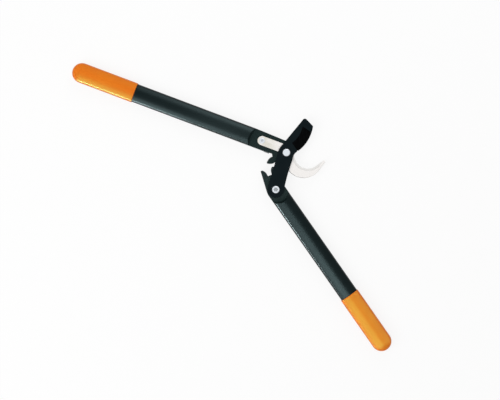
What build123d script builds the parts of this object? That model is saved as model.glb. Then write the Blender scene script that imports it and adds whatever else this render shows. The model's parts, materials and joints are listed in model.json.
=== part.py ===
from build123d import *
import os
from math import acos, atan2, cos, degrees, hypot, pi, radians, sin, tan

# A two-handed bypass lopper with geared handles, lying open on its back.
# X runs right and Y up across the tool, Z points away from the surface it lies on.
# The origin is on the main pivot's axis, in the plane of that surface. Sizes are in millimetres.

os.makedirs("parts", exist_ok=True)

# Layout of the open tool, with angles counted from +X, and the blade's closing turn
PIVOT_DISTANCE = 66.0
ARM_ANGLE = 254.0
UPPER_ANGLE = 159.4
LOWER_ANGLE = -55.1
BLADE_TRAVEL = 69.5

# Handle tubes: an oval with crowned broad faces and bulged sides
TUBE_WIDTH = 32.2
TUBE_THICK = 22.0
TUBE_CROWN = 4.5
TUBE_BULGE = 2.2
TUBE_CORNER = 6.0
TUBE_WALL = 3.5
UPPER_REACH = 394.0
LOWER_REACH = 335.0
UPPER_BORE_START = 92.0
LOWER_BORE_START = 46.0

# Grips and the stoppers under them
GRIP_LENGTH = 114.0
GRIP_PROUD = 1.2
GRIP_WALL = 2.8
PLUG_FLANGE = 2.0
PLUG_DEPTH = 12.0
GRIP_MOUTH_CHAMFER = 0.7

# Layers of the head, from the surface the tool lies on
NUT_THICK = 3.0
REAR_WASHER_THICK = 1.0
HEAD_THICK = 12.0
HOOK_THICK = 5.0
BLADE_THICK = 4.0
THRUST_WASHER_THICK = 0.5
FRONT_WASHER_THICK = 0.8
BOLT_HEAD_THICK = 2.8

# Clearances: between sliding faces, round turning pins, in still seats and round the hook's tang
FACE_GAP = 0.05
TURN_GAP = 0.05
SEAT_GAP = 0.03
POCKET_GAP = 0.35

# Tolerance for telling whether two places are the same
SAME = 0.01

# Heads of the handles
UPPER_STEP_RADIUS = 66.5
LOWER_STEP_RADIUS = 21.8
STEP_SLOPE = 4.0
NOSE_RADIUS = 14.0
NOSE_OFFSET = 4.5
HORN_BACK = 15.7
HORN_PROUD = 1.0
HORN_TIP_ROUND = 3.0

# Gear teeth: counts to a full turn, and where they stand from the line between the pivots
UPPER_TEETH = 10
LOWER_TEETH = 12
PRESSURE_ANGLE = 25.0
PROFILE_SHIFT = 0.33
ADDENDUM = 0.94
DEDENDUM = 1.25
BACKLASH = 0.9
UPPER_FIRST_TOOTH = 10.0
UPPER_TOOTH_COUNT = 2
LOWER_TOOTH_COUNT = 3
ROOT_OVERRUN = 6.0
TOOTH_TIP_ROUND = 0.5
TOOTH_ROOT_ROUND = 1.0
TIP_ROUND_SHARE = 0.35

# Hook, the counter blade
TANG_WIDTH = 15.6
TANG_LENGTH = 54.0
HOOK_EYE_RADIUS = 14.0
HOOK_ROOT = (12.7, -4.8)
HOOK_THROAT = (26.4, -40.4)
HOOK_THROAT_RADIUS = 23.0
HOOK_TIP = (64.8, -12.8)
HOOK_TIP_BACK = (67.2, -15.6)
HOOK_BACK_END = (55.0, -32.3)
HOOK_BACK_LOW = (29.2, -43.5)
HOOK_BACK_START = (5.0, -32.3)
HOOK_HEEL = (-5.0, -12.0)
HOOK_BACK_CHAMFER = 1.0
GROOVE_INSET = 3.6
GROOVE_WIDTH = 1.0
GROOVE_DEPTH = 0.5
GROOVE_SHARE = 0.84

# Blade and its arm
BLADE_EYE_RADIUS = 14.0
BLADE_BACK_ANGLE = 50.5
BLADE_BACK_LENGTH = 66.5
BLADE_TIP = (45.7, 45.4)
BLADE_EDGE_BELLY = (37.3, 21.2)
BLADE_HEEL = (19.6, 2.2)
BLADE_TIP_ROUND = 4.0
HEEL_NOTCH_RADIUS = 1.3
NECK_BELLY = (13.8, -2.6)
NECK_DISTANCE = 9.0
NECK_HALF_WIDTH = 13.4
NECK_ROUND = 3.0
ARM_WAIST = 12.5
ARM_END_TURN = 6.0
BEVEL_WIDTH = 17.6
BEVEL_LAND = 0.4
BEVEL_END_INNER = (28.0, 44.7)
BEVEL_END_OUTER = (39.8, 36.8)
PLATE_CHAMFER = 0.5

# Fasteners
SHANK_RADIUS = 4.0
BUSH_RADIUS = 6.0
BOLT_HEAD_RADIUS = 6.3
BOLT_HEAD_EDGE = 1.5
FRONT_WASHER_RADIUS = 6.8
REAR_WASHER_RADIUS = 9.0
THRUST_WASHER_RADIUS = 12.5
NUT_SIDES = 6
NUT_ACROSS_FLATS = 13.0
NUT_CHAMFER = 0.8
SHANK_CHAMFER = 0.5
DRIVE_LOBES = 6
DRIVE_RADIUS = 3.0
DRIVE_LOBE_SHARE = 0.3
DRIVE_DEPTH = 1.6
RIVET_RADIUS = 3.0
RIVET_HEAD_RADIUS = 5.0
RIVET_HEAD_THICK = 1.0
RIVET_HEAD_EDGE = 0.7
RIVET_DRIVE_RADIUS = 1.9
RIVET_DRIVE_DEPTH = 0.8
RIVET_TAIL_RADIUS = 4.2
RIVET_TAIL_THICK = 0.9
RIVET_WASHER_RADIUS = 5.6
RIVET_WASHER_THICK = 0.8

# Stop pad in the inner edge of the upper head
PAD_START = 27.5
PAD_LENGTH = 10.0
PAD_HEIGHT = 7.0
PAD_DEPTH = 2.4
PAD_PROUD = 0.6
PAD_CHAMFER = 0.4
STOP_GAP = 0.3

# Heights that follow from the layers
Z_AXIS = TUBE_THICK / 2 + GRIP_PROUD
Z_HEAD = NUT_THICK + REAR_WASHER_THICK
Z_FACE = Z_HEAD + HEAD_THICK
Z_HOOK = Z_FACE - HOOK_THICK
Z_BLADE = Z_FACE + FACE_GAP
Z_BLADE_TOP = Z_BLADE + BLADE_THICK
Z_LOWER_FACE = Z_BLADE - THRUST_WASHER_THICK - FACE_GAP
Z_LOWER_BACK = Z_HEAD + FACE_GAP
Z_TOP = TUBE_THICK + 2 * GRIP_PROUD
Z_FRONT_WASHER = Z_BLADE_TOP + FACE_GAP
Z_BOLT_HEAD = Z_FRONT_WASHER + FRONT_WASHER_THICK

# Sizes that follow from the grips and the tang
NECK_STEP = GRIP_WALL - GRIP_PROUD
GRIP_END_RADIUS = TUBE_WIDTH / 2 + GRIP_PROUD
RIVET_DISTANCE = TANG_LENGTH - TANG_WIDTH / 2

# Gear sizes that follow from the pivots and the counts
MODULE = 2 * PIVOT_DISTANCE / (UPPER_TEETH + LOWER_TEETH)
UPPER_PITCH_RADIUS = MODULE * UPPER_TEETH / 2
LOWER_PITCH_RADIUS = MODULE * LOWER_TEETH / 2
UPPER_ROOT_RADIUS = UPPER_PITCH_RADIUS - MODULE * (DEDENDUM - PROFILE_SHIFT)
LOWER_ROOT_RADIUS = LOWER_PITCH_RADIUS - MODULE * (DEDENDUM + PROFILE_SHIFT)
UPPER_TIP_RADIUS = UPPER_PITCH_RADIUS + MODULE * (ADDENDUM + PROFILE_SHIFT)
LOWER_TIP_RADIUS = LOWER_PITCH_RADIUS + MODULE * (ADDENDUM - PROFILE_SHIFT)
HORN_TIP_RADIUS = LOWER_TIP_RADIUS + HORN_PROUD

# Closed tool: the horn's back lies along the stop pad, which sets how far off the pivot the upper tube runs
LOWER_TRAVEL = BLADE_TRAVEL * UPPER_TEETH / LOWER_TEETH
CLOSED_ARM = ARM_ANGLE - UPPER_ANGLE - BLADE_TRAVEL
HORN_BACK_ANGLE = UPPER_ANGLE - 180 + BLADE_TRAVEL + LOWER_TRAVEL
INNER_EDGE = PIVOT_DISTANCE * sin(radians(CLOSED_ARM)) - HORN_BACK - STOP_GAP - PAD_PROUD
UPPER_OFFSET = TUBE_WIDTH / 2 - INNER_EDGE


def polar(radius, angle):
    """Point at a radius and an angle in degrees."""
    return (radius * cos(radians(angle)), radius * sin(radians(angle)))


LINK = polar(PIVOT_DISTANCE, ARM_ANGLE)
UPPER_PLACE = Rot(0, 0, UPPER_ANGLE)
LOWER_PLACE = Pos(*LINK) * Rot(0, 0, LOWER_ANGLE)
LINK_PLACE = Pos(*LINK)
UPPER_TUBE_PLACE = UPPER_PLACE * Pos(0, -UPPER_OFFSET)
RIVET_PLACE = UPPER_TUBE_PLACE * Pos(RIVET_DISTANCE, 0)


def slab(face, bottom, top):
    """Plan outline raised from one height to another."""
    return Pos(0, 0, bottom) * extrude(face, top - bottom)


def ring(outer, inner, bottom, top):
    """Round washer or sleeve on the Z axis."""
    return slab(Circle(outer) - Circle(inner), bottom, top)


# Handle tube: its section, straight stretches and rounded end, along +X


def oval(grow=0):
    """Tube section, grown or shrunk evenly."""
    side = TUBE_WIDTH / 2 + grow
    top = TUBE_THICK / 2 + grow
    flatter = top / (TUBE_THICK / 2)
    corner_side = side - TUBE_BULGE * side / (TUBE_WIDTH / 2)
    corner_top = top - TUBE_CROWN * flatter
    outline = [
        ThreePointArc((-corner_side, corner_top), (0, top), (corner_side, corner_top)),
        ThreePointArc((corner_side, corner_top), (side, 0), (corner_side, -corner_top)),
        ThreePointArc((corner_side, -corner_top), (0, -top), (-corner_side, -corner_top)),
        ThreePointArc((-corner_side, -corner_top), (-side, 0), (-corner_side, corner_top)),
    ]
    face = make_face(outline)
    return fillet(face.vertices(), TUBE_CORNER * flatter)


def tube(start, end, grow=0):
    """Straight stretch of oval between two distances from the pivot."""
    return Pos(start, 0, Z_AXIS) * extrude(Plane.YZ * oval(grow), end - start)


def round_end(centre, grow):
    """Half of the oval turned about its upright axis, which closes a stretch of tube."""
    half = oval(grow) & Pos(-TUBE_WIDTH, 0) * Rectangle(2 * TUBE_WIDTH, 2 * TUBE_WIDTH)
    return Pos(centre, 0, Z_AXIS) * revolve(Plane.YZ * half, Axis.Z, 180)


def handle_tube(start, reach, bore_start):
    """Hollow tube with a neck under the grip, open at the far end."""
    mouth = reach - GRIP_LENGTH
    neck_end = reach - GRIP_END_RADIUS
    outside = tube(start, mouth) + tube(mouth, neck_end, -NECK_STEP)
    return outside - tube(bore_start, neck_end, -NECK_STEP - TUBE_WALL)


def grip(reach):
    """Sleeve with a rounded closed end, moulded over the neck and the stopper."""
    mouth = reach - GRIP_LENGTH
    neck_end = reach - GRIP_END_RADIUS
    outside = tube(mouth, neck_end, GRIP_PROUD) + round_end(neck_end, GRIP_PROUD)
    outside = chamfer(outside.edges().group_by(Axis.X)[0], GRIP_MOUTH_CHAMFER)
    return outside - tube(mouth, neck_end + PLUG_FLANGE, SEAT_GAP - NECK_STEP)


def plug(reach):
    """Stopper with a flange over the tube's end and a body inside its bore."""
    neck_end = reach - GRIP_END_RADIUS
    flange = tube(neck_end, neck_end + PLUG_FLANGE, -NECK_STEP)
    return flange + tube(neck_end - PLUG_DEPTH, neck_end, -NECK_STEP - TUBE_WALL - SEAT_GAP)


# Gear teeth


def involute(angle):
    """Involute function of a pressure angle in radians."""
    return tan(angle) - angle


def tooth(pitch_radius, count, shift, tip_radius, root_radius):
    """One tooth along +X: involute flanks as arcs, straight towards the centre below the base circle."""
    pressure = radians(PRESSURE_ANGLE)
    base_radius = pitch_radius * cos(pressure)
    half_pitch = (pi / 2 + 2 * shift * tan(pressure)) / count - BACKLASH / 4 / pitch_radius

    def flank(radius, side):
        slope = acos(min(1.0, base_radius / radius))
        half = half_pitch + involute(pressure) - involute(slope)
        return polar(radius, side * degrees(half))

    def flank_arc(side):
        middle = (base_radius + tip_radius) / 2
        return ThreePointArc(flank(base_radius, side), flank(middle, side), flank(tip_radius, side))

    inner = Vector(flank(base_radius, 1)) * (root_radius - MODULE / 2) / base_radius
    inner_points = [(inner.X, inner.Y), (inner.X, -inner.Y)]
    outline = [
        Line(inner_points[1], flank(base_radius, -1)),
        flank_arc(-1),
        ThreePointArc(flank(tip_radius, -1), (tip_radius, 0), flank(tip_radius, 1)),
        flank_arc(1),
        Line(flank(base_radius, 1), inner_points[0]),
        Line(inner_points[0], inner_points[1]),
    ]
    return make_face(outline)


def corners(face, radius, start, end):
    """Corners of a gear's outline on a circle, strictly between two angles, in order of angle."""
    found = []
    for vertex in face.vertices():
        angle = degrees(atan2(vertex.Y, vertex.X)) % 360
        if abs(hypot(vertex.X, vertex.Y) - radius) < SAME and start + SAME < angle < end - SAME:
            found.append((angle, vertex))
    return [vertex for angle, vertex in sorted(found, key=lambda item: item[0])]


def rounded_tips(tips, radius):
    """Gear outline with the corners at its tooth tips rounded, as far as the tips' width allows."""
    land = (Vector(tips[0]) - Vector(tips[1])).length
    return fillet(tips, min(radius, land * TIP_ROUND_SHARE))


def sector(radius, start, end):
    """Slice of a disc between two angles."""
    first = polar(radius, start)
    last = polar(radius, end)
    middle = polar(radius, (start + end) / 2)
    return make_face([Line((0, 0), first), ThreePointArc(first, middle, last), Line(last, (0, 0))])


def upper_gear():
    """Teeth and root disc of the upper head, in its own frame."""
    centre_line = ARM_ANGLE - UPPER_ANGLE
    pitch = 360 / UPPER_TEETH
    start = centre_line - UPPER_FIRST_TOOTH - (UPPER_TOOTH_COUNT - 0.5) * pitch - ROOT_OVERRUN
    end = centre_line - UPPER_FIRST_TOOTH + pitch / 2
    face = sector(UPPER_ROOT_RADIUS, start, end)
    single = tooth(UPPER_PITCH_RADIUS, UPPER_TEETH, PROFILE_SHIFT, UPPER_TIP_RADIUS, UPPER_ROOT_RADIUS)
    for step in range(UPPER_TOOTH_COUNT):
        face += Rot(0, 0, centre_line - UPPER_FIRST_TOOTH - step * pitch) * single
    face = rounded_tips(corners(face, UPPER_TIP_RADIUS, start, end), TOOTH_TIP_ROUND)
    return fillet(corners(face, UPPER_ROOT_RADIUS, start, end), TOOTH_ROOT_ROUND)


def lower_gear():
    """Teeth, root disc and long horn tooth of the lower head, in its own frame."""
    centre_line = ARM_ANGLE - 180 - LOWER_ANGLE
    pitch = 360 / LOWER_TEETH
    first_gap = (UPPER_FIRST_TOOTH * UPPER_PITCH_RADIUS / LOWER_PITCH_RADIUS) - pitch / 2
    first = centre_line + first_gap
    horn = first + (LOWER_TOOTH_COUNT - 1) * pitch
    face = sector(LOWER_ROOT_RADIUS, first - pitch / 2, horn)
    single = tooth(LOWER_PITCH_RADIUS, LOWER_TEETH, -PROFILE_SHIFT, LOWER_TIP_RADIUS, LOWER_ROOT_RADIUS)
    for step in range(LOWER_TOOTH_COUNT - 1):
        face += Rot(0, 0, first + step * pitch) * single
    face = rounded_tips(corners(face, LOWER_TIP_RADIUS, first - pitch, horn), TOOTH_TIP_ROUND)
    long_tooth = tooth(LOWER_PITCH_RADIUS, LOWER_TEETH, -PROFILE_SHIFT, HORN_TIP_RADIUS, LOWER_ROOT_RADIUS)
    face += Rot(0, 0, horn) * long_tooth
    back_normal = HORN_BACK_ANGLE - LOWER_ANGLE + 90
    reach = back_normal - degrees(acos(HORN_BACK / HORN_TIP_RADIUS))
    tip_start = polar(HORN_TIP_RADIUS, horn)
    tip_middle = polar(HORN_TIP_RADIUS, (horn + reach) / 2)
    tip_end = polar(HORN_TIP_RADIUS, reach)
    foot = polar(HORN_BACK, back_normal)
    outline = [
        Line((0, 0), tip_start),
        ThreePointArc(tip_start, tip_middle, tip_end),
        Line(tip_end, foot),
        Line(foot, (0, 0)),
    ]
    side = 2 * HORN_TIP_RADIUS
    beyond = Rot(0, 0, back_normal) * Pos(HORN_BACK + HORN_TIP_RADIUS, 0) * Rectangle(side, 2 * side)
    face = face - beyond + make_face(outline)
    face = fillet(corners(face, LOWER_ROOT_RADIUS, first - pitch / 2, horn), TOOTH_ROOT_ROUND)
    tips = corners(face, HORN_TIP_RADIUS, first, horn + 90)
    return rounded_tips([tips[0], tips[-1]], HORN_TIP_ROUND)


# Hook outline, in the tool's frame: eye, tang and crescent


def throat_line():
    """Shearing edge of the hook, from its root to its tip."""
    return FilletPolyline(HOOK_ROOT, HOOK_THROAT, HOOK_TIP, radius=HOOK_THROAT_RADIUS)


def hook_face():
    """Plan of the hook."""
    tang = Pos(RIVET_DISTANCE / 2, 0) * Rectangle(RIVET_DISTANCE, TANG_WIDTH)
    tang += Pos(RIVET_DISTANCE, 0) * Circle(TANG_WIDTH / 2)
    crescent = make_face([
        throat_line(),
        Line(HOOK_TIP, HOOK_TIP_BACK),
        Line(HOOK_TIP_BACK, HOOK_BACK_END),
        ThreePointArc(HOOK_BACK_END, HOOK_BACK_LOW, HOOK_BACK_START),
        Line(HOOK_BACK_START, HOOK_HEEL),
        Line(HOOK_HEEL, HOOK_ROOT),
    ])
    return Circle(HOOK_EYE_RADIUS) + UPPER_TUBE_PLACE * tang + crescent


def sap_groove():
    """Plan of the groove that runs beside the shearing edge and stops short of the tip."""
    line = throat_line().offset_2d(GROOVE_INSET, side=Side.RIGHT, closed=False)
    return trace(line.trim(0, GROOVE_SHARE), GROOVE_WIDTH)


# Blade outline, in the tool's frame: eye, arm and cutting blade


def blade_face():
    """Plan of the blade plate, from the heel along the edge, the back and the arm to the neck."""
    link = Vector(*LINK)
    across = Vector(*polar(1, ARM_ANGLE + 90))
    back_start = Vector(*polar(BLADE_EYE_RADIUS, BLADE_BACK_ANGLE + 90))
    back_end = back_start + Vector(*polar(BLADE_BACK_LENGTH, BLADE_BACK_ANGLE))
    eye_middle = polar(BLADE_EYE_RADIUS, (BLADE_BACK_ANGLE + ARM_ANGLE) / 2)
    eye_end = across * -BLADE_EYE_RADIUS
    end_middle = link + Vector(*polar(BLADE_EYE_RADIUS, ARM_ANGLE))
    end_last = link + Vector(*polar(BLADE_EYE_RADIUS, ARM_ANGLE + 90 + ARM_END_TURN))
    neck = Vector(*polar(NECK_DISTANCE, ARM_ANGLE)) + across * NECK_HALF_WIDTH
    face = make_face([
        ThreePointArc(BLADE_HEEL, BLADE_EDGE_BELLY, BLADE_TIP),
        Line(BLADE_TIP, back_end),
        Line(back_end, back_start),
        ThreePointArc(back_start, eye_middle, eye_end),
        Line(eye_end, link + eye_end),
        ThreePointArc(link + eye_end, end_middle, end_last),
        ThreePointArc(end_last, link / 2 + across * ARM_WAIST, neck),
        ThreePointArc(neck, NECK_BELLY, BLADE_HEEL),
    ])
    face = fillet(face.vertices().sort_by_distance(neck)[0], NECK_ROUND)
    return fillet(face.vertices().sort_by_distance(back_end)[0], BLADE_TIP_ROUND)


def edge_bevel():
    """Ground-away wedge along the cutting edge, turned about the centre of the edge's arc."""
    edge = ThreePointArc(BLADE_HEEL, BLADE_EDGE_BELLY, BLADE_TIP)
    centre = edge.arc_center
    radius = edge.radius
    heel = Vector(*BLADE_HEEL) - centre
    tip = Vector(*BLADE_TIP) - centre
    start = degrees(atan2(heel.Y, heel.X))
    profile = make_face(Polyline(
        (radius - BEVEL_WIDTH, Z_BLADE_TOP),
        (radius, Z_BLADE + BEVEL_LAND),
        (radius + BEVEL_WIDTH, Z_BLADE + BEVEL_LAND),
        (radius + BEVEL_WIDTH, Z_BLADE_TOP + BLADE_THICK),
        (radius - BEVEL_WIDTH, Z_BLADE_TOP + BLADE_THICK),
        close=True,
    ))
    wedge = revolve(Plane.XZ * profile, Axis.Z, heel.get_angle(tip))
    wedge = Pos(centre.X, centre.Y) * Rot(0, 0, start) * wedge
    end_line = Vector(*BEVEL_END_OUTER) - Vector(*BEVEL_END_INNER)
    end_angle = degrees(atan2(end_line.Y, end_line.X))
    side = 2 * radius
    heel_side = Rot(0, 0, end_angle) * Rectangle(side, side, align=(Align.CENTER, Align.MAX))
    return wedge & slab(Pos(*BEVEL_END_INNER) * heel_side, Z_BLADE, Z_BLADE_TOP + BLADE_THICK)


# Upper handle: tube, forked head with its pocket, gear and bores


def stop_pad(grow=0):
    """Pad let into the inner edge of the upper head, in the upper handle's frame."""
    depth = PAD_DEPTH + PAD_PROUD
    middle = INNER_EDGE + PAD_PROUD - depth / 2
    block = Box(PAD_LENGTH + 2 * grow, depth + 2 * grow, PAD_HEIGHT + 2 * grow)
    block = chamfer(block.edges(), PAD_CHAMFER + grow)
    return Pos(PAD_START + PAD_LENGTH / 2, middle, Z_AXIS) * block


def step_cut(radius, face_height, back_height):
    """Room in front of and behind a flat head, bounded by a sloped round step."""
    front = Pos(0, 0, face_height) * Cone(
        radius, radius + STEP_SLOPE, Z_TOP - face_height, align=(Align.CENTER, Align.CENTER, Align.MIN)
    )
    back = Cone(radius + STEP_SLOPE, radius, back_height, align=(Align.CENTER, Align.CENTER, Align.MIN))
    return front + back


def upper_handle():
    """Composite moulding that holds the hook and carries the main pivot."""
    outer_edge = INNER_EDGE - TUBE_WIDTH
    nose = Pos(0, -NOSE_OFFSET) * Circle(NOSE_RADIUS)
    root = Line((UPPER_STEP_RADIUS, outer_edge), (UPPER_STEP_RADIUS, INNER_EDGE))
    plan = make_hull([nose.edges()[0], root])
    plan += Pos(PAD_START, -UPPER_OFFSET) * Rectangle(
        UPPER_STEP_RADIUS - PAD_START, TUBE_WIDTH / 2, align=(Align.MIN, Align.MIN)
    )
    beyond = Pos(UPPER_STEP_RADIUS, -UPPER_OFFSET) * Rectangle(
        UPPER_REACH, 2 * TUBE_WIDTH, align=(Align.MIN, Align.CENTER)
    )
    body = Pos(0, -UPPER_OFFSET, 0) * handle_tube(-NOSE_RADIUS, UPPER_REACH, UPPER_BORE_START)
    body = body & slab(plan + beyond, 0, Z_TOP)
    body -= step_cut(UPPER_STEP_RADIUS, Z_FACE, Z_HEAD)
    body += slab(upper_gear() + nose, Z_HEAD, Z_FACE)
    body = UPPER_PLACE * (body - stop_pad(SEAT_GAP))
    body -= slab(offset(hook_face(), POCKET_GAP), Z_HOOK, Z_TOP)
    body -= slab(Circle(BUSH_RADIUS + SEAT_GAP), 0, Z_TOP)
    return body - RIVET_PLACE * slab(Circle(RIVET_RADIUS + SEAT_GAP), 0, Z_TOP)


# Lower handle: tube, head with its gear and bore


def lower_handle():
    """Composite moulding that turns on the link pivot."""
    body = handle_tube(0, LOWER_REACH, LOWER_BORE_START)
    body -= step_cut(LOWER_STEP_RADIUS, Z_LOWER_FACE, Z_LOWER_BACK)
    body += slab(lower_gear() + Circle(HORN_BACK), Z_LOWER_BACK, Z_LOWER_FACE)
    body -= slab(Circle(BUSH_RADIUS + TURN_GAP), 0, Z_TOP)
    return LOWER_PLACE * body


# Steel pieces


def hook():
    """Counter blade with its tang, bored for the bush and the rivet."""
    face = hook_face() - Circle(BUSH_RADIUS + SEAT_GAP) - RIVET_PLACE * Circle(RIVET_RADIUS + SEAT_GAP)
    plate = slab(face, Z_HOOK, Z_FACE)
    tip_back = (Vector(*HOOK_TIP_BACK) + Vector(*HOOK_BACK_END)) / 2
    back = []
    for height in (Z_HOOK, Z_FACE):
        for place in ((*HOOK_BACK_LOW, height), (tip_back.X, tip_back.Y, height)):
            back.append(plate.edges().sort_by_distance(place)[0])
    plate = chamfer(back, HOOK_BACK_CHAMFER)
    return plate - slab(sap_groove(), Z_FACE - GROOVE_DEPTH, Z_FACE)


def blade():
    """Coated blade plate, bored for the bush and for the link bolt."""
    plate = slab(blade_face(), Z_BLADE, Z_BLADE_TOP)
    front = plate.edges().group_by(Axis.Z)[-1].sort_by_distance((*BLADE_EDGE_BELLY, Z_BLADE_TOP))
    plate = chamfer(front[1:], PLATE_CHAMFER)
    cuts = Circle(BUSH_RADIUS + TURN_GAP) + LINK_PLACE * Circle(SHANK_RADIUS + SEAT_GAP)
    cuts += Pos(*BLADE_HEEL) * Circle(HEEL_NOTCH_RADIUS)
    return plate - slab(cuts, Z_BLADE, Z_BLADE_TOP) - edge_bevel()


def drive_recess(radius, depth, top):
    """Six-lobed recess for a driver, let into a head from its top."""
    outline = Circle(radius)
    for lobe in PolarLocations(radius, DRIVE_LOBES):
        outline += lobe * Circle(radius * DRIVE_LOBE_SHARE)
    return slab(outline, top - depth, top)


def bolt(head_bottom, driven):
    """Bolt with a low domed head; a driven one has a recess."""
    top = head_bottom + BOLT_HEAD_THICK
    head = slab(Circle(BOLT_HEAD_RADIUS), head_bottom, top)
    head = fillet(head.edges().group_by(Axis.Z)[-1], BOLT_HEAD_EDGE)
    shank = slab(Circle(SHANK_RADIUS), 0, head_bottom)
    body = head + chamfer(shank.edges().group_by(Axis.Z)[0], SHANK_CHAMFER)
    if driven:
        body -= drive_recess(DRIVE_RADIUS, DRIVE_DEPTH, top)
    return body


def nut():
    """Thin hexagon nut with its rear corners turned off."""
    outline = RegularPolygon(NUT_ACROSS_FLATS / 2, NUT_SIDES, major_radius=False)
    blank = slab(outline - Circle(SHANK_RADIUS + SEAT_GAP), 0, NUT_THICK)
    disc = slab(Circle(NUT_ACROSS_FLATS / 2 / cos(pi / NUT_SIDES)), 0, NUT_THICK)
    return blank & chamfer(disc.edges().group_by(Axis.Z)[0], NUT_CHAMFER)


def hook_rivet():
    """Rivet screw through the tang, headed in front and spread over a washer behind."""
    top = Z_FACE + RIVET_HEAD_THICK
    head = slab(Circle(RIVET_HEAD_RADIUS), Z_FACE, top)
    head = fillet(head.edges().group_by(Axis.Z)[-1], RIVET_HEAD_EDGE)
    tail_top = Z_HEAD - RIVET_WASHER_THICK
    tail = slab(Circle(RIVET_TAIL_RADIUS), tail_top - RIVET_TAIL_THICK, tail_top)
    body = head + tail + slab(Circle(RIVET_RADIUS), tail_top, Z_FACE)
    return body - drive_recess(RIVET_DRIVE_RADIUS, RIVET_DRIVE_DEPTH, top)


nodes = {
    "upper_handle": upper_handle(),
    "upper_grip": UPPER_TUBE_PLACE * grip(UPPER_REACH),
    "upper_plug": UPPER_TUBE_PLACE * plug(UPPER_REACH),
    "hook": hook(),
    "hook_rivet": RIVET_PLACE * hook_rivet(),
    "hook_rivet_washer": RIVET_PLACE * ring(
        RIVET_WASHER_RADIUS, RIVET_RADIUS + SEAT_GAP, Z_HEAD - RIVET_WASHER_THICK, Z_HEAD
    ),
    "pivot_bolt": bolt(Z_BOLT_HEAD, False),
    "pivot_bush": ring(BUSH_RADIUS, SHANK_RADIUS + SEAT_GAP, Z_HEAD, Z_FRONT_WASHER),
    "pivot_front_washer": ring(FRONT_WASHER_RADIUS, SHANK_RADIUS + SEAT_GAP, Z_FRONT_WASHER, Z_BOLT_HEAD),
    "pivot_rear_washer": ring(REAR_WASHER_RADIUS, SHANK_RADIUS + SEAT_GAP, NUT_THICK, Z_HEAD),
    "pivot_nut": UPPER_PLACE * nut(),
    "stop_pad": UPPER_PLACE * stop_pad(),
    "blade": blade(),
    "link_bolt": LINK_PLACE * bolt(Z_BLADE_TOP, True),
    "link_bush": LINK_PLACE * ring(BUSH_RADIUS, SHANK_RADIUS + SEAT_GAP, Z_HEAD, Z_BLADE),
    "link_thrust_washer": LINK_PLACE * ring(
        THRUST_WASHER_RADIUS, BUSH_RADIUS + SEAT_GAP, Z_BLADE - THRUST_WASHER_THICK, Z_BLADE
    ),
    "link_rear_washer": LINK_PLACE * ring(REAR_WASHER_RADIUS, SHANK_RADIUS + SEAT_GAP, NUT_THICK, Z_HEAD),
    "link_nut": LINK_PLACE * nut(),
    "lower_handle": lower_handle(),
    "lower_grip": LOWER_PLACE * grip(LOWER_REACH),
    "lower_plug": LOWER_PLACE * plug(LOWER_REACH),
}

for name, solid in nodes.items():
    export_step(solid, f"parts/{name}.step")
print(f"closing: the blade turns {BLADE_TRAVEL:.2f} degrees, the lower handle {LOWER_TRAVEL:.2f}")
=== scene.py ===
import json
import math
import bmesh
import bpy
from mathutils import Euler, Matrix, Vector


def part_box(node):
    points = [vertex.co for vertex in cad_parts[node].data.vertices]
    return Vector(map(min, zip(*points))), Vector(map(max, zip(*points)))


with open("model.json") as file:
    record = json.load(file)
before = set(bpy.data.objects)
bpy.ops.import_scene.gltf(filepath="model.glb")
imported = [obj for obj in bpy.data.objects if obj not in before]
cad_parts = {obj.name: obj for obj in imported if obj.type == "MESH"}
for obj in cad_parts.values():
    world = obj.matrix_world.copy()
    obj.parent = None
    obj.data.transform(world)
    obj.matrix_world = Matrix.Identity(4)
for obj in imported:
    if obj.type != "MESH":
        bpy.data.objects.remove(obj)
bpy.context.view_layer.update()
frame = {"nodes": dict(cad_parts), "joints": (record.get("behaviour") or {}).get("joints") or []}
nodes = frame["nodes"]

# Upper handle: a long hollow tube and a flat geared head, moulded in one piece from black
# glass-filled composite. The tube is satin, the head has a spark-eroded grain, a fine mould
# line runs round the piece at half its height, and its edges are rubbed a little paler. A
# narrow band of painted shade darkens the tube where it goes into the grip's mouth.


class Sock:
    """A shader socket that can be used in sums like a number."""

    def __init__(self, socket):
        self.socket = socket

    @staticmethod
    def node(tree, kind, settings, sockets, output=0):
        """One node: its settings are set first, then the values or links of its sockets."""
        made = tree.nodes.new(kind)
        for name, value in settings.items():
            setattr(made, name, value)
        for name, value in sockets.items():
            if isinstance(value, Sock):
                tree.links.new(value.socket, made.inputs[name])
            else:
                made.inputs[name].default_value = value
        return Sock(made.outputs[output])

    def sum(self, operation, first, second):
        """One Math node, in the tree that this socket is in."""
        tree = self.socket.id_data
        return Sock.node(tree, "ShaderNodeMath", {"operation": operation}, {0: first, 1: second})

    def __add__(self, other):
        return self.sum("ADD", self, other)

    def __sub__(self, other):
        return self.sum("SUBTRACT", self, other)

    def __rsub__(self, other):
        return self.sum("SUBTRACT", other, self)

    def __mul__(self, other):
        return self.sum("MULTIPLY", self, other)

    def __abs__(self):
        return self.sum("ABSOLUTE", self, 0.0)

    __radd__ = __add__
    __rmul__ = __mul__

    def larger(self, other):
        return self.sum("MAXIMUM", self, other)

    def ease(self, low, high):
        """0 below low, 1 above high, and smooth between them."""
        settings = {"interpolation_type": "SMOOTHSTEP"}
        sockets = {"Value": self, "From Min": low, "From Max": high}
        return Sock.node(self.socket.id_data, "ShaderNodeMapRange", settings, sockets)


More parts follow.
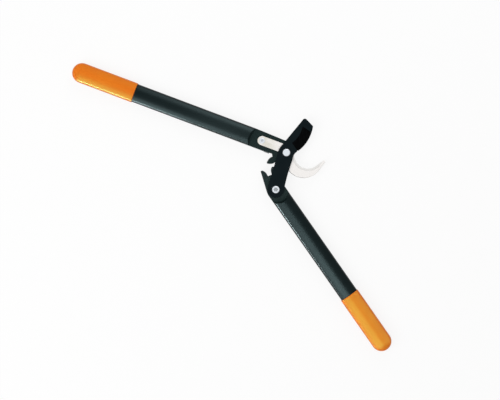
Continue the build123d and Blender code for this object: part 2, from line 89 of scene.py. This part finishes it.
class Finish:
    """A material under construction, with the few patterns that the pieces share."""

    def __init__(self, name):
        self.material = bpy.data.materials.new(name)
        self.material.use_nodes = True
        self.tree = self.material.node_tree
        self.shader = self.tree.nodes["Principled BSDF"]
        self.place = self.node("ShaderNodeTexCoord", {}, {}, "Object")
        self.height = self.axis(self.place, "Z")

    def node(self, kind, settings, sockets, output=0):
        return Sock.node(self.tree, kind, settings, sockets, output)

    def turned(self, degrees, centre, stretch=(1, 1, 1)):
        """Object coordinates counted from a centre, turned about Z and stretched."""
        moved = self.node("ShaderNodeVectorMath", {"operation": "SUBTRACT"}, {0: self.place, 1: centre})
        sockets = {"Vector": moved, "Rotation": (0, 0, math.radians(-degrees)), "Scale": stretch}
        return self.node("ShaderNodeMapping", {}, sockets)

    def axis(self, vector, name):
        return self.node("ShaderNodeSeparateXYZ", {}, {0: vector}, name)

    def radius(self, centre):
        """Distance from an upright line through a centre."""
        flat = self.turned(0, centre, (1, 1, 0))
        return self.node("ShaderNodeVectorMath", {"operation": "LENGTH"}, {0: flat}, "Value")

    def noise(self, vector, per_metre, detail=2.0):
        sockets = {"Vector": vector, "Scale": per_metre, "Detail": detail}
        return self.node("ShaderNodeTexNoise", {}, sockets, "Fac")

    def speckle(self, per_metre, detail=2.0):
        """Noise that is alike in all directions."""
        return self.noise(self.place, per_metre, detail)

    def streaks(self, degrees, centre, per_metre, detail):
        """Noise drawn out at an angle, with its own number to the metre along each axis."""
        return self.noise(self.turned(degrees, centre, per_metre), 1.0, detail)

    def lines(self, along, per_metre, detail=2.0):
        """Noise that changes along one value only, such as the rings that a lathe leaves."""
        stretched = self.node("ShaderNodeCombineXYZ", {}, {"X": along * per_metre})
        return self.noise(stretched, 1.0, detail)

    def mould_line(self):
        """1 along the line where the two halves of the mould met."""
        return 1 - abs(self.height - MOULD_LINE).ease(LINE_HALF, LINE_END)

    def soften(self, radius):
        """Normal with the edges rounded, and how strongly a place is on an edge."""
        soft = self.node("ShaderNodeBevel", {"samples": 6}, {"Radius": radius})
        flat = self.node("ShaderNodeNewGeometry", {}, {}, "Normal")
        same = self.node("ShaderNodeVectorMath", {"operation": "DOT_PRODUCT"}, {0: soft, 1: flat}, "Value")
        return soft, (1 - same).ease(0.01, 0.2)

    def blend(self, share, first, second):
        """Colour between two colours."""
        return self.node("ShaderNodeMix", {"data_type": "RGBA"}, {0: share, 6: first, 7: second}, 2)

    def bump(self, relief, normal=None):
        """Normal with a relief in metres on it."""
        sockets = {"Height": relief, "Strength": 0.6, "Distance": 1.0}
        if normal:
            sockets["Normal"] = normal
        return self.node("ShaderNodeBump", {}, sockets)

    def feed(self, colour, roughness, normal, **constants):
        """Feeds the shader: varying values by link, constants on the shader's own sockets."""
        for name, value in (("Base Color", colour), ("Roughness", roughness), ("Normal", normal)):
            self.tree.links.new(value.socket, self.shader.inputs[name])
        for name, value in constants.items():
            self.shader.inputs[name.replace("_", " ")].default_value = value
        return self.material


def dress(material, *names):
    """Gives CAD nodes a finish."""
    for name in names:
        nodes[name].data.materials.clear()
        nodes[name].data.materials.append(material)


def middle(name):
    """The middle of a CAD node's box."""
    lowest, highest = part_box(name)
    return (Vector(lowest) + Vector(highest)) / 2


PIVOT = (0, 0, 0)
UPPER_TUBE = {"pivot": PIVOT, "degrees": 159.4}
UPPER_HEAD = 0.0665
UPPER_MOUTH = 0.280
HEAD_FADE = 0.004
MOULD_LINE = middle("upper_grip").z
LINE_HALF = 0.0001
LINE_END = 0.0003
SEAM_START = 0.0020
SEAM_FULL = 0.0006
COMPOSITE_EDGE = 0.0006
FLOW_PER_METRE = (9, 60, 60)
GRAIN_PER_METRE = 1500.0
FLECKS_PER_METRE = 2600.0
SCUFFS_PER_METRE = (40, 700, 300)
SCUFF_DEGREES = 8
GRAIN_DEPTH = 0.00014
LINE_DEPTH = 0.00012
SCUFF_DEPTH = 0.00004
HEAD_ROUGHNESS = 0.78
TUBE_POLISH = 0.47
COMPOSITE = (0.0008, 0.0028, 0.0031, 1)
COMPOSITE_PALE = (0.0026, 0.0058, 0.0061, 1)
COMPOSITE_MATT = (0.0074, 0.0150, 0.0141, 1)
COMPOSITE_RUBBED = (0.030, 0.038, 0.038, 1)
COMPOSITE_MOUTH_SHADE = (0.0005, 0.0008, 0.0008, 1)
COMPOSITE_SHINE = {"Specular_IOR_Level": 0.12, "Specular_Tint": (0.68, 0.97, 1.0, 1)}


def composite(name, pivot, degrees, head, mouth):
    """Moulding with a flat head round the pivot and a tube that runs at an angle to a grip's mouth."""
    finish = Finish(name)
    flow = finish.streaks(degrees, pivot, FLOW_PER_METRE, 3.0)
    grain = finish.speckle(GRAIN_PER_METRE, 3.0)
    flecks = finish.speckle(FLECKS_PER_METRE).ease(0.64, 0.74)
    scuff = finish.streaks(degrees + SCUFF_DEGREES, pivot, SCUFFS_PER_METRE, 4.0).ease(0.66, 0.78)
    tube = finish.radius(pivot).ease(head, head + HEAD_FADE)
    normal, edge = finish.soften(COMPOSITE_EDGE)
    worn = edge * flow.ease(0.35, 0.65)
    satin = finish.blend(flow.ease(0.3, 0.8) * 0.7 + scuff * 0.3, COMPOSITE, COMPOSITE_PALE)
    skin = finish.blend((1 - tube) * (flow * 0.4 + grain * 1.6 - 0.1), satin, COMPOSITE_MATT)
    rubbed = finish.blend(worn * 0.6 + flecks * 0.12, skin, COMPOSITE_RUBBED)
    along = finish.axis(finish.turned(degrees, pivot), "X")
    # Painted shade: a narrow band of the tube next to the grip's mouth is blended nearly to black.
    seam = along.ease(mouth - SEAM_START, mouth - SEAM_FULL)
    colour = finish.blend(seam * 0.9, rubbed, COMPOSITE_MOUTH_SHADE)
    roughness = HEAD_ROUGHNESS - tube * TUBE_POLISH + flow * 0.06 + scuff * 0.08 + seam * 0.2
    marks = finish.mould_line() * LINE_DEPTH - scuff * SCUFF_DEPTH
    surface = finish.bump(grain * (1.3 - tube) * GRAIN_DEPTH + marks, normal)
    return finish.feed(colour, roughness, surface, **COMPOSITE_SHINE)


upper_skin = composite("composite_upper", **UPPER_TUBE, head=UPPER_HEAD, mouth=UPPER_MOUTH)
dress(upper_skin, "upper_handle")

# Lower handle: the same moulding for the other hand, with gear teeth and a long horn tooth.
# It turns on the second pivot, which the blade's arm carries.
hinges = {joint["name"]: joint["pos_m"] for joint in frame["joints"]}
LINK = (*hinges["lower_handle_swing"][:2], 0)
LOWER_TUBE = {"pivot": LINK, "degrees": -55.1}
LOWER_HEAD = 0.0218
LOWER_MOUTH = 0.221
lower_skin = composite("composite_lower", **LOWER_TUBE, head=LOWER_HEAD, mouth=LOWER_MOUTH)
dress(lower_skin, "lower_handle")

# Grips: orange sleeves of smooth semi-hard plastic, moulded over the ends of the tubes.
# They have a fine matt skin, a faint mould line, a slight change of tone along them
# and a few rubbed streaks from hands.
CLOUDS_PER_METRE = (18, 30, 30)
RUBS_PER_METRE = (60, 500, 200)
RUB_DEGREES = -20
SKIN_DEPTH = 0.00008
RUB_DEPTH = 0.00003
GRIP_ROUGHNESS = 0.32
ORANGE = (0.755, 0.158, 0.012, 1)
ORANGE_LIGHT = (0.775, 0.188, 0.013, 1)
ORANGE_RUBBED = (0.640, 0.120, 0.008, 1)
ORANGE_SHINE = {"Specular_IOR_Level": 0.22, "Specular_Tint": (0.15, 1.0, 0.17, 1)}


def orange(name, pivot, degrees):
    """Sleeve on a tube that runs from the pivot at an angle."""
    finish = Finish(name)
    cloud = finish.streaks(degrees, pivot, CLOUDS_PER_METRE, 3.0)
    skin = finish.speckle(GRAIN_PER_METRE)
    rub = finish.streaks(degrees + RUB_DEGREES, pivot, RUBS_PER_METRE, 4.0).ease(0.64, 0.8)
    clean = finish.blend(cloud.ease(0.3, 0.75), ORANGE, ORANGE_LIGHT)
    colour = finish.blend(rub * 0.35, clean, ORANGE_RUBBED)
    roughness = GRIP_ROUGHNESS + cloud * 0.05 + rub * 0.12
    surface = finish.bump(skin * SKIN_DEPTH + finish.mould_line() * LINE_DEPTH - rub * RUB_DEPTH)
    return finish.feed(colour, roughness, surface, **ORANGE_SHINE)


dress(orange("orange_upper", **UPPER_TUBE), "upper_grip")
dress(orange("orange_lower", **LOWER_TUBE), "lower_grip")

# Stoppers and thrust washer: plain black moulded plastic, hidden inside the tool. The stoppers
# are pressed into the tubes' ends, and the washer lies between the arm and the lower head.
PLAIN_CLOUDS_PER_METRE = 120.0
PLAIN_SKIN_DEPTH = 0.00004
PLAIN_ROUGHNESS = 0.5
PLAIN_BLACK = (0.012, 0.012, 0.013, 1)
PLAIN_GREYER = (0.022, 0.022, 0.023, 1)


def plain_black():
    finish = Finish("plain_black")
    cloud = finish.speckle(PLAIN_CLOUDS_PER_METRE)
    skin = finish.speckle(GRAIN_PER_METRE)
    colour = finish.blend(cloud, PLAIN_BLACK, PLAIN_GREYER)
    return finish.feed(colour, PLAIN_ROUGHNESS + cloud * 0.1, finish.bump(skin * PLAIN_SKIN_DEPTH))


dress(plain_black(), "upper_plug", "lower_plug", "link_thrust_washer")

# Hook: the counter blade, cut from thick bright steel and ground along its curve. The lines
# of the grinding follow the throat, and the land inside the sap groove is a little greyer.
# The tang, which lies in the head's pocket, has a film of oil.
THROAT = (0.0372, -0.0043, 0)
LAND_RADIUS = 0.0271
LAND_FADE = 0.0003
TANG_OILED = -0.034
TANG_CLEAN = -0.010
STEEL_EDGE = 0.0003
GRINDING_PER_METRE = 1900.0
HOOK_CLOUDS_PER_METRE = 90.0
GRINDING_DEPTH = 0.00004
HOOK_ROUGHNESS = 0.22
BRIGHT_METAL = 0.6
HOOK_BRIGHT = (0.856, 0.830, 0.808, 1)
HOOK_PALE = (0.920, 0.894, 0.872, 1)
HOOK_LAND = (0.767, 0.757, 0.741, 1)
HOOK_OILED = (0.716, 0.700, 0.625, 1)


def ground_steel():
    finish = Finish("ground_steel")
    radius = finish.radius(THROAT)
    lines = finish.lines(radius, GRINDING_PER_METRE, 5.0)
    cloud = finish.speckle(HOOK_CLOUDS_PER_METRE, 3.0)
    land = 1 - radius.ease(LAND_RADIUS - LAND_FADE, LAND_RADIUS + LAND_FADE)
    normal, edge = finish.soften(STEEL_EDGE)
    plate = finish.blend(lines.ease(0.3, 0.7) * 0.7 + cloud * 0.3, HOOK_BRIGHT, HOOK_PALE)
    tang = 1 - finish.axis(finish.place, "X").ease(TANG_OILED, TANG_CLEAN)
    oiled = finish.blend(tang * cloud.ease(0.2, 0.6), plate, HOOK_OILED)
    colour = finish.blend(land * 0.8 + edge * 0.2, oiled, HOOK_LAND)
    roughness = HOOK_ROUGHNESS + lines * 0.2 + cloud * 0.08
    surface = finish.bump(lines * GRINDING_DEPTH, normal)
    return finish.feed(colour, roughness, surface, Metallic=BRIGHT_METAL)


dress(ground_steel(), "hook")

# Rivet, bolts, washers and nuts: bright plated steel, with faint rings from the lathe. The
# recesses for the driver are darkened with painted shade, so they are darker than the heads.
# The main bolt's head is plain, so it has none.
RECESS_RADIUS = 0.0042
RECESS_FADE = 0.0002
RECESS_FLOOR = (0.004, 0.003)
RECESS_LIP = (0.0007, 0.0002)
RINGS_PER_METRE = 4000.0
PLATED_CLOUDS_PER_METRE = 400.0
RING_DEPTH = 0.00002
PLATED_ROUGHNESS = 0.24
PLATED = (0.706, 0.749, 0.793, 1)
PLATED_PALE = (0.782, 0.831, 0.880, 1)
PLATED_RECESS_SHADE = (0.230, 0.245, 0.250, 1)


def plated(name, centre, top, recess_shade):
    """Fasteners round one upright line, with the highest of them ending at a height."""
    finish = Finish(name)
    radius = finish.radius(centre)
    rings = finish.lines(radius, RINGS_PER_METRE)
    cloud = finish.speckle(PLATED_CLOUDS_PER_METRE, 3.0)
    over_floor = finish.height.ease(*(top - depth for depth in RECESS_FLOOR))
    over_lip = finish.height.ease(*(top - depth for depth in RECESS_LIP))
    within = 1 - radius.ease(RECESS_RADIUS - RECESS_FADE, RECESS_RADIUS)
    recess = (over_floor - over_lip) * within
    normal, edge = finish.soften(STEEL_EDGE)
    bright = finish.blend(cloud * 0.4 + rings.ease(0.3, 0.7) * 0.4 + edge * 0.2, PLATED, PLATED_PALE)
    # Painted shade: the driver's recess is blended towards dark grey.
    colour = finish.blend(recess * recess_shade, bright, PLATED_RECESS_SHADE)
    roughness = PLATED_ROUGHNESS + rings * 0.1 + cloud * 0.06 + recess * 0.2
    surface = finish.bump(rings * RING_DEPTH, normal)
    return finish.feed(colour, roughness, surface, Metallic=BRIGHT_METAL)


RIVET = (*middle("hook_rivet").xy, 0)
# The last number in each row is how strongly painted shade darkens the recess.
for name, centre, recess_shade, pieces in (
    ("plated_pivot", PIVOT, 0.0, ("pivot_bolt", "pivot_rear_washer", "pivot_nut")),
    ("plated_link", LINK, 0.70, ("link_bolt", "link_rear_washer", "link_nut")),
    ("plated_rivet", RIVET, 0.40, ("hook_rivet", "hook_rivet_washer")),
):
    head_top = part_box(pieces[0])[1][2]
    dress(plated(name, centre, head_top, recess_shade), *pieces)

# Bushes and front washer: turned steel, oiled and darker than the bolts. The bushes are the
# sleeves inside the pivots, and the washer shows as a thin ring under the main bolt's head.
TURNING_PER_METRE = 3000.0
TURNING_DEPTH = 0.00003
TURNED_ROUGHNESS = 0.34
TURNED_METAL = 0.9
TURNED_DARK = (0.10, 0.104, 0.108, 1)
TURNED_PALE = (0.16, 0.165, 0.17, 1)


def turned_steel():
    finish = Finish("turned_steel")
    rings = finish.lines(finish.height, TURNING_PER_METRE)
    colour = finish.blend(rings, TURNED_DARK, TURNED_PALE)
    roughness = TURNED_ROUGHNESS + rings * 0.12
    surface = finish.bump(rings * TURNING_DEPTH)
    return finish.feed(colour, roughness, surface, Metallic=TURNED_METAL)


dress(turned_steel(), "pivot_bush", "link_bush", "pivot_front_washer")

# Stop pad: a block of grey rubber let into the inner edge of the upper head.
# The lower handle's horn comes to rest along it when the jaw is closed.
SPECKS_PER_METRE = 900.0
SPECK_DEPTH = 0.00008
RUBBER_ROUGHNESS = 0.68
RUBBER_SHINE = 0.3
RUBBER_GREY = (0.150, 0.165, 0.165, 1)
RUBBER_PALE = (0.220, 0.235, 0.235, 1)


def grey_rubber():
    finish = Finish("grey_rubber")
    speck = finish.speckle(SPECKS_PER_METRE, 3.0)
    colour = finish.blend(speck, RUBBER_GREY, RUBBER_PALE)
    roughness = RUBBER_ROUGHNESS + speck * 0.1
    surface = finish.bump(speck * SPECK_DEPTH)
    return finish.feed(colour, roughness, surface, Specular_IOR_Level=RUBBER_SHINE)


dress(grey_rubber(), "stop_pad")

# Blade: a hardened steel plate that is also the arm of the lower handle, with a ground bevel
# along its convex edge, coated all over in a thin black low-friction film. Only the very
# edge has lost its film to honing.
EDGE_CENTRE = (-0.01626, 0.05335, 0)
EDGE_RADIUS = 0.0625
HONED_START = 0.0006
HONED_FULL = 0.0003
BLADE_EDGE = 0.0004
FILM_CLOUDS_PER_METRE = 45.0
FILM_SKIN_PER_METRE = 2200.0
SWIRLS_PER_METRE = 2400.0
STROKES_PER_METRE = (900, 60, 60)
STROKE_DEGREES = -38
FILM_DEPTH = 0.00002
STROKE_DEPTH = 0.00004
FILM_ROUGHNESS = 0.42
FILM_SHINE = 0.03
BLADE_BLACK = (0.0042, 0.0082, 0.0102, 1)
BLADE_GREY = (0.0072, 0.0118, 0.0140, 1)
BLADE_RUBBED = (0.020, 0.026, 0.030, 1)
BEVEL_BLACK = (0.0003, 0.0004, 0.0007, 1)
BEVEL_GROUND = (0.0045, 0.0052, 0.0060, 1)
HONED_STEEL = (0.16, 0.17, 0.18, 1)


def coated():
    finish = Finish("coated_blade")
    cloud = finish.speckle(FILM_CLOUDS_PER_METRE, 4.0)
    skin = finish.speckle(FILM_SKIN_PER_METRE)
    radius = finish.radius(EDGE_CENTRE)
    strokes = finish.streaks(STROKE_DEGREES, PIVOT, STROKES_PER_METRE, 3.0)
    facing = finish.axis(finish.node("ShaderNodeTexCoord", {}, {}, "Normal"), "Z")
    bevel = facing.ease(0.90, 0.95) * (1 - facing.ease(0.985, 0.995))
    honed = bevel * radius.ease(EDGE_RADIUS - HONED_START, EDGE_RADIUS - HONED_FULL)
    normal, edge = finish.soften(BLADE_EDGE)
    rings = finish.lines(finish.radius(PIVOT), SWIRLS_PER_METRE, 3.0)
    swirl = rings.ease(0.62, 0.75) * cloud.ease(0.45, 0.65)
    flat = finish.blend(cloud.ease(0.3, 0.75) * 0.6 + skin.ease(0.3, 0.7) * 0.4, BLADE_BLACK, BLADE_GREY)
    plate = finish.blend(edge * cloud + swirl * 0.25, flat, BLADE_RUBBED)
    ground = finish.blend(strokes.ease(0.52, 0.75), BEVEL_BLACK, BEVEL_GROUND)
    film = finish.blend(bevel, plate, ground)
    colour = finish.blend(honed, film, HONED_STEEL)
    roughness = FILM_ROUGHNESS + cloud * 0.1 - bevel * 0.08 + bevel * strokes * 0.1
    surface = finish.bump(skin * FILM_DEPTH + bevel * strokes * STROKE_DEPTH, normal)
    return finish.feed(colour, roughness, surface, Specular_IOR_Level=FILM_SHINE)


dress(coated(), "blade")

# Floor: a wide sheet of white paper that keeps the tool's soft shadow. The camera, and metal
# that mirrors it, see it nearly white; it lights the tool as plain paper does.
SHEET_HALF = 4.0
SHEET_BELOW = 0.0003
FIBRES_PER_SHEET = 300.0
PAPER = (0.86, 0.86, 0.86, 1)
PAPER_PALE = (0.9, 0.9, 0.9, 1)
WHITE = (1, 1, 1, 1)
WHITE_SHARE = 0.87


def backdrop_rays(tree):
    """1 for the rays that see the backdrop: the camera's, and those from metal or glass."""
    camera_ray = Sock.node(tree, "ShaderNodeLightPath", {}, {}, "Is Camera Ray")
    glossy_ray = Sock.node(tree, "ShaderNodeLightPath", {}, {}, "Is Glossy Ray")
    glass_ray = Sock.node(tree, "ShaderNodeLightPath", {}, {}, "Is Transmission Ray")
    return camera_ray.larger(glossy_ray.larger(glass_ray))


sheet = bmesh.new()
bmesh.ops.create_grid(sheet, x_segments=1, y_segments=1, size=SHEET_HALF)
bmesh.ops.translate(sheet, verts=sheet.verts, vec=(0, 0, -SHEET_BELOW))
paper_mesh = bpy.data.meshes.new("floor")
sheet.to_mesh(paper_mesh)
sheet.free()
floor = bpy.data.objects.new("floor", paper_mesh)
bpy.context.scene.collection.objects.link(floor)
paper = bpy.data.materials.new("white_paper")
paper.use_nodes = True
tree = paper.node_tree
tree.nodes.remove(tree.nodes["Principled BSDF"])
fibres = Sock.node(tree, "ShaderNodeTexNoise", {}, {"Scale": FIBRES_PER_SHEET}, "Fac")
tone = Sock.node(tree, "ShaderNodeMix", {"data_type": "RGBA"}, {0: fibres, 6: PAPER, 7: PAPER_PALE}, 2)
matt = Sock.node(tree, "ShaderNodeBsdfDiffuse", {}, {"Color": tone})
white = Sock.node(tree, "ShaderNodeEmission", {}, {"Color": WHITE, "Strength": 1.0})
shares = {0: backdrop_rays(tree) * WHITE_SHARE, 1: matt, 2: white}
mixed = Sock.node(tree, "ShaderNodeMixShader", {}, shares)
tree.links.new(mixed.socket, tree.nodes["Material Output"].inputs["Surface"])
paper_mesh.materials.append(paper)

# Studio: a pale room that is brighter on the left, with a softbox at the left and a weaker one
# at the top. Cards and strips of light round the two tubes are kept off the metal and are
# only mirrored: they draw the bands and edge lines on the tubes and grips.
BRIGHT_SIDE = (-0.60, -0.50, 0.62)
ROOM_GLOW = 0.39
BRIGHT_SIDE_GLOW = 0.28
MIDDLE = (-0.06, -0.08, 0.012)
scene = bpy.context.scene
room = bpy.data.worlds.new("studio")
scene.world = room
room.use_nodes = True
tree = room.node_tree
shown = backdrop_rays(tree)
toward = Sock.node(tree, "ShaderNodeTexCoord", {}, {}, "Generated")
sides = {0: toward, 1: BRIGHT_SIDE}
brighter = Sock.node(tree, "ShaderNodeVectorMath", {"operation": "DOT_PRODUCT"}, sides, "Value")
glow = ROOM_GLOW + brighter.ease(-0.4, 0.95) * BRIGHT_SIDE_GLOW
tree.nodes["Background"].inputs["Color"].default_value = WHITE
tree.links.new((glow + shown * (1 - glow)).socket, tree.nodes["Background"].inputs["Strength"])


def lamp(name, place, turn, size, watts):
    """A rectangular lamp that the camera doesn't see."""
    data = bpy.data.lights.new(name, "AREA")
    data.shape = "RECTANGLE"
    data.size, data.size_y = size
    data.energy = watts
    made = bpy.data.objects.new(name, data)
    made.location = place
    made.rotation_euler = turn
    made.visible_camera = False
    scene.collection.objects.link(made)
    return made


def softbox(name, place, size, watts, mirrored):
    """A lamp that faces the middle of the tool and lights all of it."""
    turn = (Vector(MIDDLE) - Vector(place)).to_track_quat("-Z", "Y").to_euler()
    lamp(name, place, turn, size, watts).visible_glossy = mirrored


def tube_light(name, pivot, degrees, along, far, lean, size, watts, seen_in):
    """A lamp that is only mirrored in some pieces. It is far from a point along a tube's line,
    leans to the tube's left by degrees from upright, and has its first side along the tube."""
    turn = Euler((math.radians(-lean), 0, math.radians(degrees)))
    place = Vector(pivot) + turn.to_matrix() @ Vector((along, 0, far))
    made = lamp(name, place, turn, size, watts)
    made.visible_diffuse = False
    made.light_linking.receiver_collection = bpy.data.collections.new(name)
    for piece in seen_in:
        made.light_linking.receiver_collection.objects.link(nodes[piece])


softbox("softbox_left", place=(-1.03, -0.53, 1.38), size=(1.2, 1.1), watts=13.0, mirrored=False)
softbox("softbox_top", place=(0.28, 1.18, 0.92), size=(0.8, 1.0), watts=6.0, mirrored=True)
tube_light(
    "upper_card_low", **UPPER_TUBE, along=0.90, far=4.0, lean=52.0, size=(1.6, 2.5), watts=136.0,
    seen_in=("upper_handle", "upper_grip"),
)
tube_light(
    "upper_card_top", **UPPER_TUBE, along=0.03, far=1.5, lean=-65.0, size=(0.55, 1.1), watts=10.5,
    seen_in=("upper_handle",),
)
tube_light(
    "upper_card_over", **UPPER_TUBE, along=0.13, far=0.45, lean=0.0, size=(0.12, 1.4), watts=1.4,
    seen_in=("upper_handle",),
)
tube_light(
    "upper_strip", **UPPER_TUBE, along=0.56, far=1.2, lean=83.8, size=(0.42, 0.16), watts=56.0,
    seen_in=("upper_handle", "upper_grip"),
)
tube_light(
    "lower_card", **LOWER_TUBE, along=2.35, far=4.0, lean=-29.0, size=(4.0, 4.2), watts=780.0,
    seen_in=("lower_handle", "lower_grip"),
)
tube_light(
    "lower_card_right", **LOWER_TUBE, along=2.20, far=4.0, lean=43.0, size=(4.4, 5.2), watts=430.0,
    seen_in=("lower_grip",),
)
tube_light(
    "lower_card_edge", **LOWER_TUBE, along=0.58, far=1.2, lean=-76.0, size=(1.0, 0.5), watts=20.0,
    seen_in=("lower_grip",),
)
tube_light(
    "lower_strip", **LOWER_TUBE, along=0.04, far=1.2, lean=-83.8, size=(0.22, 0.16), watts=30.0,
    seen_in=("lower_handle",),
)

# Camera: square above the tool, with the tool's +Y at the top of the picture. The lens is long,
# as for a small tool on a table, and the frame has a set width at the level of the tool.
LENS = 85.0
SENSOR = 36.0
FRAME_WIDTH = 0.8594
FRAME_MIDDLE = (-0.0624, -0.0813)
FRAME_LEVEL = 0.014
eye = bpy.data.cameras.new("camera")
eye.lens = LENS
eye.sensor_width = SENSOR
camera = bpy.data.objects.new("camera", eye)
camera.location = (*FRAME_MIDDLE, FRAME_LEVEL + FRAME_WIDTH * LENS / SENSOR)
scene.collection.objects.link(camera)
scene.camera = camera
scene.view_settings.view_transform = "Standard"
